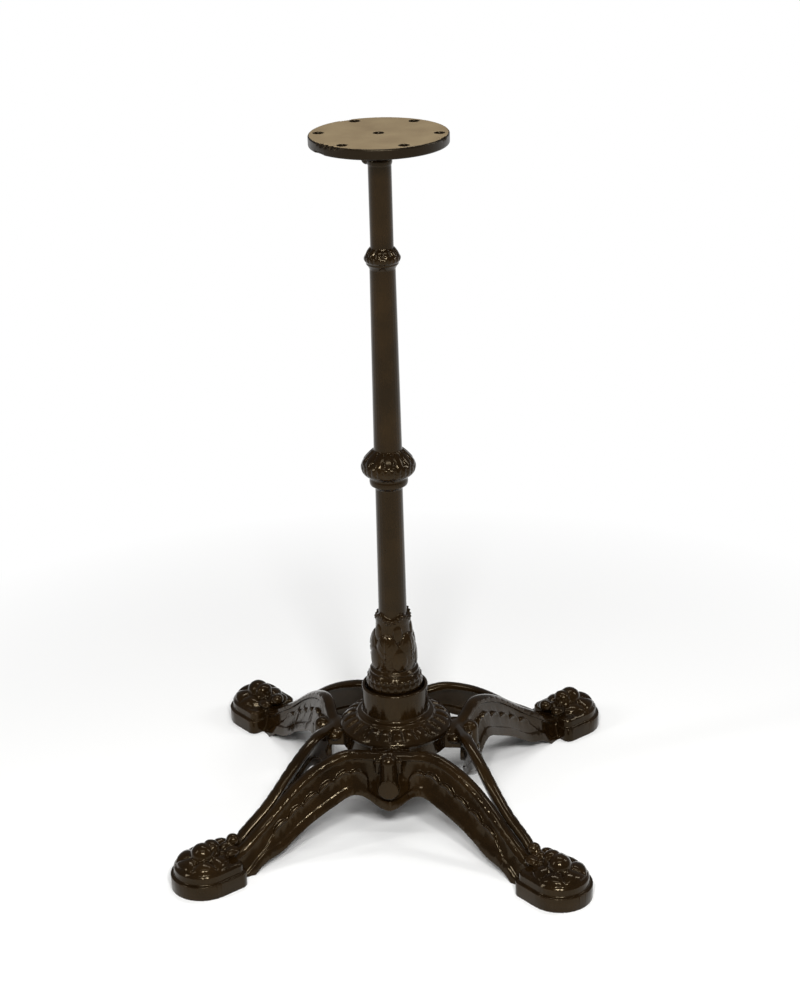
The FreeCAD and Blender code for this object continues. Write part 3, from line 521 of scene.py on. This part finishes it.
def hung_lip(piece):
    """The column with its sleeve's upper edge drawn down to hang as the garland does."""
    corners, faces = piece
    edge = (corners[:, 2] > LIP_EDGE - LIP_SLOPE) & (corners[:, 2] < LIP_EDGE + 2 * LIP_SLOPE)
    angle = np.degrees(np.arctan2(corners[edge, 1], corners[edge, 0]))
    corners[edge, 2] += garland_level(angle) + LIP_ABOVE_GARLAND - LIP_EDGE
    return corners, faces


def sleeve_garland():
    """Two rows of beads along the sleeve's upper edge, the lower ones between the upper."""
    pieces = []
    for row, (drop, radius) in enumerate(GARLAND_ROWS):
        for number in range(GARLAND_BEADS):
            angle = 360 * (number + row / 2) / GARLAND_BEADS
            pieces.append(ball(on_column(angle, garland_level(angle) - drop, GARLAND_PROUD), radius))
    return pieces


def leaf_edge(middle, side):
    """The raised edge along one side of a broad leaf."""
    path = []
    for t in np.linspace(*EDGE_ENDS, EDGE_STEPS):
        spread = side * LEAF_SPREAD * math.sin(math.pi * t) ** LEAF_ROUNDNESS
        path.append(on_column(middle + spread, LEAF_FOOT + t * (LEAF_TIP - LEAF_FOOT), EDGE_PROUD))
    return tube(path, tapered(EDGE_RADIUS, EDGE_STEPS, EDGE_FULLNESS))


def leaf_vein(middle, side, level):
    """A vein that rises from a broad leaf's midrib towards its edge."""
    path = []
    for t in np.linspace(0, 1, VEIN_STEPS):
        path.append(on_column(middle + side * VEIN_TURN * t, level + VEIN_RISE * t, VEIN_PROUD))
    return tube(path, tapered(VEIN_RADIUS, VEIN_STEPS))


def sleeve_leaves():
    """Midrib, edges and veins of the sleeve's broad leaves, with a low leaf and a leaf tip between each two."""
    pieces = []
    for number in range(LEAVES):
        middle = LEAF_TURN + 360 * number / LEAVES
        levels = np.linspace(LEAF_FOOT, LEAF_TIP, MIDRIB_STEPS)
        midrib = [on_column(middle, level, MIDRIB_PROUD) for level in levels]
        pieces.append(tube(midrib, tapered(MIDRIB_RADIUS, MIDRIB_STEPS)))
        for side in (-1, 1):
            pieces.append(leaf_edge(middle, side))
            pieces += [leaf_vein(middle, side, level) for level in VEIN_LEVELS]
        pieces += [leaf_between(middle + 180 / LEAVES, *leaf) for leaf in SLEEVE_GAP_LEAVES]
    return pieces


def bell_relief():
    """A roll at the top of the bell and a row of small leaf tips under it."""
    angles = np.linspace(0, BELL_ROLL_TURN, BELL_ROLL_STEPS)
    path = [on_column(angle, BELL_ROLL_LEVEL, BELL_ROLL_PROUD) for angle in angles]
    roll = tube(path, np.full(BELL_ROLL_STEPS, BELL_ROLL_RADIUS))
    return [roll, *leaf_ring(BELL_TIPS, BELL_TIP)]


def soft_rim(level, radius, rise, rings=24, segments=96):
    """The outer part of a flat ellipsoid round the column, which leaves the bore free."""
    first = math.asin(RIM_INSIDE / radius)
    polar = np.append(np.linspace(first, math.pi - first, rings), first)
    turn = np.linspace(0, TURN, segments, endpoint=False)
    reach = radius * np.sin(polar)[:, None]
    up = np.repeat(level + rise * np.cos(polar)[:, None], segments, axis=1)
    corners = np.stack([reach * np.cos(turn), reach * np.sin(turn), up], axis=-1)
    return corners.reshape(-1, 3), grid_faces(len(polar), segments)


def knop_relief():
    """Leaves that fold up from both knops to the shaft, and the soft rims that leave their lobes shallow."""
    pieces = [soft_rim(*rim) for rim in KNOP_RIMS]
    for count, leaf in KNOP_LEAVES:
        pieces += leaf_ring(count, leaf)
    return pieces


def column_head():
    """The soft collar that shows under the plate's rim, and the stub that the casting gate left beside it."""
    return [soft_rim(*HEAD_COLLAR), lump(STUB_MIDDLE, STUB_HALF)]


def column_casting():
    """The column as one casting with its leaves and beads."""
    pieces = [hung_lip(solid_of("column")), *sleeve_garland(), *sleeve_leaves(), *bell_relief(), *knop_relief(),
              *column_head()]
    made = mesh_object("column_casting", joined(pieces))
    cast(made, COLUMN_GRAIN, CASTING_TRIANGLES)
    return stands_for(made, "column")


# The plate
def chip_rims(corners):
    """Breaks the plate's rims with ragged chips that fade away from the edge."""
    angle = np.degrees(np.arctan2(corners[:, 1], corners[:, 0])) % 360
    reach = np.hypot(corners[:, 0], corners[:, 1])
    for first, last, level, depth in CHIPS:
        t = np.clip((angle - first) / (last - first), 0, 1)
        ragged = CHIP_MEAN
        for share, half_turns, start in CHIP_WAVES:
            ragged = ragged + share * np.sin(half_turns * math.pi * t + start)
        across, up = (PLATE_RADIUS - reach) / CHIP_ACROSS, (corners[:, 2] - level) / CHIP_UP
        bite = depth * np.sin(math.pi * t) ** CHIP_ENDS * ragged * np.exp(-across ** 2 - up ** 2)
        corners[:, :2] *= (1 - bite / reach)[:, None]
        corners[:, 2] += (-CHIP_FALL if level == PLATE_TOP else CHIP_FALL) * bite
    corners[:, 2] = np.minimum(corners[:, 2], PLATE_TOP)
    return corners


def plate_casting():
    """The round plate with the chips that its rims show."""
    made = mesh_object("plate_casting", solid_of("top_plate"))
    cast(made, PLATE_GRAIN, PLATE_TRIANGLES)
    reshape(made, chip_rims(corners_of(made.data)))
    return stands_for(made, "top_plate")


# Colours and materials
def linear(code):
    """An sRGB hex colour as linear red, green and blue with full cover."""
    shares = [int(code[place:place + 2], 16) / 255 for place in (1, 3, 5)]
    return [s / 12.92 if s <= 0.04045 else ((s + 0.055) / 1.055) ** 2.4 for s in shares] + [1.0]


def add(tree, kind, inputs=None, stops=(), **settings):
    """Adds a node with its settings and the stops of its colour ramp, and links or sets its inputs."""
    made = tree.nodes.new(kind)
    for name, setting in settings.items():
        setattr(made, name, setting)
    for number, (position, code) in enumerate(stops):
        made.color_ramp.elements[number].position = position
        made.color_ramp.elements[number].color = linear(code)
    for name, wanted in (inputs or {}).items():
        if isinstance(wanted, bpy.types.NodeSocket):
            tree.links.new(wanted, made.inputs[name])
        else:
            made.inputs[name].default_value = wanted
    return made


def new_material(name):
    """An empty material and its node tree."""
    material = bpy.data.materials.new(name)
    material.use_nodes = True
    material.node_tree.nodes.clear()
    return material, material.node_tree


def per_size(size):
    """Scale of a pattern in metres whose marks are this many millimetres apart."""
    return 1 / (size * MM)


# Stove enamel's gloss, kept low and warm so that the white studio doesn't grey its brown
ENAMEL_GLOSS = {"IOR": 1.5, "Specular IOR Level": 0.27, "Specular Tint": linear("#ecd8b4")}

# The Mix node's sockets for colours: the two that go in and the one that comes out
MIX_FIRST, MIX_SECOND, MIX_OUT = 6, 7, 2


def gloss_enamel():
    """Brown stove enamel over rough cast iron: near black, with sharp highlights broken by the sand's grain."""
    material, tree = new_material("brown_gloss_enamel_on_cast_iron")
    place = add(tree, "ShaderNodeTexCoord").outputs["Object"]
    # Thicker and thinner coats in clouds of 35 mm
    cloud = add(tree, "ShaderNodeTexNoise", {"Vector": place, "Scale": per_size(35), "Detail": 3.0})
    colour = add(tree, "ShaderNodeValToRGB", {"Fac": cloud.outputs["Fac"]},
                 stops=((0.35, "#150c04"), (0.7, "#221608")))
    # Gloss that varies over 9 mm, where the enamel ran
    flow = add(tree, "ShaderNodeTexNoise", {"Vector": place, "Scale": per_size(9), "Detail": 2.0})
    gloss = add(tree, "ShaderNodeMapRange", {"Value": flow.outputs["Fac"], "To Min": 0.08, "To Max": 0.17})
    # The sand's grain under the coat, drawn at 2.2 mm, coarser than it is, so that it shows
    grain = add(tree, "ShaderNodeTexNoise", {"Vector": place, "Scale": per_size(2.2), "Detail": 2.0})
    bump = add(tree, "ShaderNodeBump", {
        "Height": grain.outputs["Fac"], "Strength": 0.12, "Distance": 0.25 * MM})
    surface = add(tree, "ShaderNodeBsdfPrincipled", {
        "Base Color": colour.outputs["Color"], "Roughness": gloss.outputs["Result"],
        "Normal": bump.outputs["Normal"], **ENAMEL_GLOSS})
    add(tree, "ShaderNodeOutputMaterial", {"Surface": surface.outputs["BSDF"]})
    return material


def satin_enamel():
    """The same enamel on the plain turned plate: dark at the rim, with a painted sheen on top, a tan that stands
    for light reflected from above.
    """
    material, tree = new_material("satin_enamel_with_painted_sheen")
    place = add(tree, "ShaderNodeTexCoord").outputs["Object"]
    # Painted sheen: only what faces up is tan, as far as a ragged line near the rim
    facing = add(tree, "ShaderNodeNewGeometry").outputs["Normal"]
    up = add(tree, "ShaderNodeSeparateXYZ", {"Vector": facing}).outputs["Z"]
    flat = add(tree, "ShaderNodeMapRange", {"Value": up, "From Min": 0.86, "From Max": 0.97}).outputs["Result"]
    ragged = add(tree, "ShaderNodeTexNoise", {"Vector": place, "Scale": per_size(7), "Detail": 4.0})
    level = add(tree, "ShaderNodeVectorMath", {0: place, 1: (1.0, 1.0, 0.0)}, operation="MULTIPLY")
    reach = add(tree, "ShaderNodeVectorMath", {0: level.outputs["Vector"]}, operation="LENGTH")
    edge = add(tree, "ShaderNodeMath", {
        0: ragged.outputs["Fac"], 1: SHEEN_WANDER * MM, 2: reach.outputs["Value"]}, operation="MULTIPLY_ADD")
    sheen_reach = add(tree, "ShaderNodeMapRange", {
        "Value": edge.outputs["Value"], "From Min": SHEEN_OUTSIDE * MM, "From Max": SHEEN_INSIDE * MM})
    top = add(tree, "ShaderNodeMath", {0: flat, 1: sheen_reach.outputs["Result"]}, operation="MULTIPLY")
    # Faint clouds of 30 mm in the tan of the painted sheen
    cloud = add(tree, "ShaderNodeTexNoise", {"Vector": place, "Scale": per_size(30), "Detail": 3.0})
    tan = add(tree, "ShaderNodeValToRGB", {"Fac": cloud.outputs["Fac"]},
              stops=((0.3, "#7c6b51"), (0.75, "#8c7b5e")))
    # The dark enamel at the rim, with the tan of the painted sheen mixed in where the top faces up
    colour = add(tree, "ShaderNodeMix", {
        "Factor": top.outputs["Value"], MIX_FIRST: linear("#0f0803"), MIX_SECOND: tan.outputs["Color"]},
        data_type="RGBA", clamp_factor=True)
    gloss = add(tree, "ShaderNodeMapRange", {"Value": top.outputs["Value"], "To Min": 0.34, "To Max": 0.55})
    # Fine scuffs, drawn at 1.6 mm, coarser than they are, so that they show
    grain = add(tree, "ShaderNodeTexNoise", {"Vector": place, "Scale": per_size(1.6), "Detail": 2.0})
    bump = add(tree, "ShaderNodeBump", {
        "Height": grain.outputs["Fac"], "Strength": 0.15, "Distance": 0.2 * MM})
    surface = add(tree, "ShaderNodeBsdfPrincipled", {
        "Base Color": colour.outputs[MIX_OUT], "Roughness": gloss.outputs["Result"],
        "Normal": bump.outputs["Normal"], **ENAMEL_GLOSS})
    add(tree, "ShaderNodeOutputMaterial", {"Surface": surface.outputs["BSDF"]})
    return material


def rolled_steel():
    """Plain rolled steel of rod, nut and washer: grey metal, dulled by handling."""
    material, tree = new_material("dull_rolled_steel")
    surface = add(tree, "ShaderNodeBsdfPrincipled", {
        "Base Color": linear("#8d867b"), "Metallic": 1.0, "Roughness": 0.42})
    add(tree, "ShaderNodeOutputMaterial", {"Surface": surface.outputs["BSDF"]})
    return material


def pale_floor():
    """Matt white card of a photographer's sweep, which runs out to plain white away from the object."""
    material, tree = new_material("matt_white_card")
    card = add(tree, "ShaderNodeBsdfPrincipled", {
        "Base Color": linear("#fcfcfb"), "Roughness": 0.9, "Specular IOR Level": 0.2})
    white = add(tree, "ShaderNodeEmission", {"Color": linear("#ffffff"), "Strength": 1.0})
    place = add(tree, "ShaderNodeTexCoord").outputs["Object"]
    away = add(tree, "ShaderNodeVectorMath", {0: place}, operation="LENGTH").outputs["Value"]
    near, far = RUN_OUT
    run_out = add(tree, "ShaderNodeMapRange", {"Value": away, "From Min": near, "From Max": far})
    rays = add(tree, "ShaderNodeLightPath").outputs
    mirrored = add(tree, "ShaderNodeMath", {0: rays["Is Glossy Ray"], 1: rays["Is Transmission Ray"]},
                   operation="MAXIMUM")
    seen = add(tree, "ShaderNodeMath", {0: rays["Is Camera Ray"], 1: mirrored.outputs["Value"]},
               operation="MAXIMUM")
    share = add(tree, "ShaderNodeMath", {0: seen.outputs["Value"], 1: run_out.outputs["Result"]},
                operation="MULTIPLY")
    mixed = add(tree, "ShaderNodeMixShader", {
        0: share.outputs["Value"], 1: card.outputs["BSDF"], 2: white.outputs["Emission"]})
    add(tree, "ShaderNodeOutputMaterial", {"Surface": mixed.outputs["Shader"]})
    return material


def wear(made, material):
    """Gives an object one material."""
    made.data.materials.clear()
    made.data.materials.append(material)


# The pieces
enamel, satin, steel = gloss_enamel(), satin_enamel(), rolled_steel()
wear(star_casting(), enamel)
wear(column_casting(), enamel)
wear(plate_casting(), satin)
for name in ("tie_rod", "base_washer", "base_nut"):
    wear(nodes[name], steel)


# Floor, light and camera
def lay_floor():
    """A card floor, so wide that its edge lies close to the horizon."""
    corners = FLOOR_REACH * np.array([(-1, -1, 0), (1, -1, 0), (1, 1, 0), (-1, 1, 0)], float)
    floor = mesh_object("floor", (corners, np.array([(0, 1, 2), (0, 2, 3)])))
    floor.data.materials.append(pale_floor())


def light_sky():
    """Even light from all round."""
    world = bpy.data.worlds.new("studio")
    world.use_nodes = True
    tree = world.node_tree
    tree.nodes.clear()
    light = add(tree, "ShaderNodeBackground", {"Color": linear("#ffffff"), "Strength": SKY_STRENGTH})
    add(tree, "ShaderNodeOutputWorld", {"Surface": light.outputs["Background"]})
    bpy.context.scene.world = world


def hang_lamps():
    """Near lamps for the sharp highlights, windows at both sides, and strips in front and overhead."""
    for lamp_name, (place, aim, width, height, power) in LAMPS.items():
        light = bpy.data.lights.new(lamp_name, "AREA")
        light.shape = "RECTANGLE"
        light.size, light.size_y = width, height
        light.energy = power
        made = bpy.data.objects.new(lamp_name, light)
        made.location = place
        made.rotation_euler = (Vector(aim) - Vector(place)).to_track_quat("-Z", "Y").to_euler()
        bpy.context.scene.collection.objects.link(made)


def set_camera():
    """The photograph's viewpoint, fitted to the feet, the column and the plate."""
    round_axis, heading = math.radians(VIEW_TURN), math.radians(VIEW_TURN + VIEW_ASIDE)
    pitch, roll = math.radians(VIEW_PITCH), math.radians(VIEW_ROLL)
    level = math.cos(pitch)
    ahead = Vector((-math.sin(heading) * level, math.cos(heading) * level, -math.sin(pitch)))
    right = ahead.cross(Vector((0, 0, 1))).normalized()
    up = right.cross(ahead)
    rolled_right = right * math.cos(roll) + up * math.sin(roll)
    rolled_up = up * math.cos(roll) - right * math.sin(roll)
    lens = bpy.data.cameras.new("viewpoint")
    lens.sensor_width = SENSOR
    lens.lens = SENSOR * LENS_PIXELS / PHOTO_HEIGHT_PIXELS
    made = bpy.data.objects.new("viewpoint", lens)
    place = Matrix((rolled_right, rolled_up, -ahead)).transposed().to_4x4()
    place.translation = (VIEW_DISTANCE * math.sin(round_axis), -VIEW_DISTANCE * math.cos(round_axis),
                         VIEW_HEIGHT)
    made.matrix_world = place
    bpy.context.scene.collection.objects.link(made)
    bpy.context.scene.camera = made


lay_floor()
light_sky()
hang_lamps()
set_camera()
bpy.context.scene.view_settings.view_transform = "Standard"
